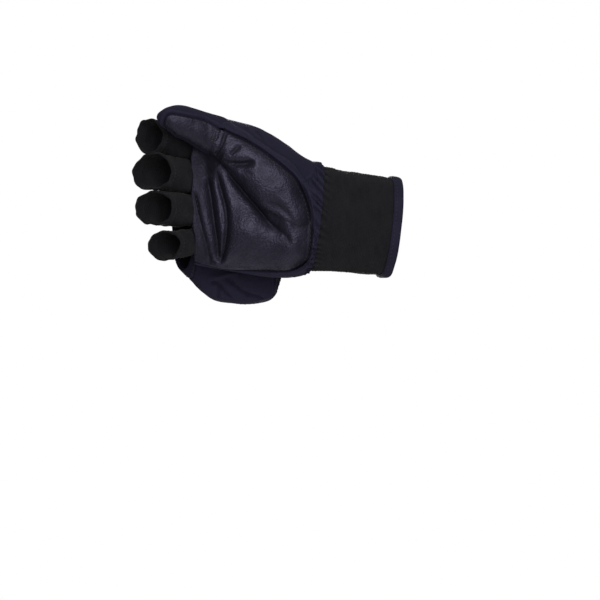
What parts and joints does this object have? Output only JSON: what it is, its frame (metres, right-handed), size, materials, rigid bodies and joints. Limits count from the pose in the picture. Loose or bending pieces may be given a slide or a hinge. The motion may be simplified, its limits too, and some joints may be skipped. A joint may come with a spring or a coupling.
{
  "type": "mountaineering mitten",
  "caption": "Right-hand fold-back mitten with leather palm and thumb pad, softshell back, half-finger stalls, gathered wrist and a hood folded over the back.",
  "frame": {"origin": "middle of the wrist, where the wearer's wrist sits inside the mitten and holds it up", "axes": "+X runs from the fingers to the cuff, +Z is towards the thumb, the palm faces -Y"},
  "size_m": [0.1776, 0.0822, 0.1279],
  "materials": {
    "leather": "near-black grained leather with a soft satin sheen",
    "softshell": "matt very dark navy softshell cloth",
    "stretch_knit": "matt black fine stretch knit",
    "lining": "matt black brushed lining"
  },
  "bodies": {
    "root": {"palm_panel": "leather", "back_shell": "softshell", "thumb_pad": "leather", "thumb_back": "softshell", "index_stall": "stretch_knit", "middle_stall": "stretch_knit", "ring_stall": "stretch_knit", "little_stall": "stretch_knit", "wrist_gather": "softshell", "wrist_cuff": "stretch_knit", "cuff_binding": "softshell", "hood_back": "softshell", "hood_palm": "leather", "hood_rim": "softshell", "hood_lining": "lining"}
  },
  "joints": []
}
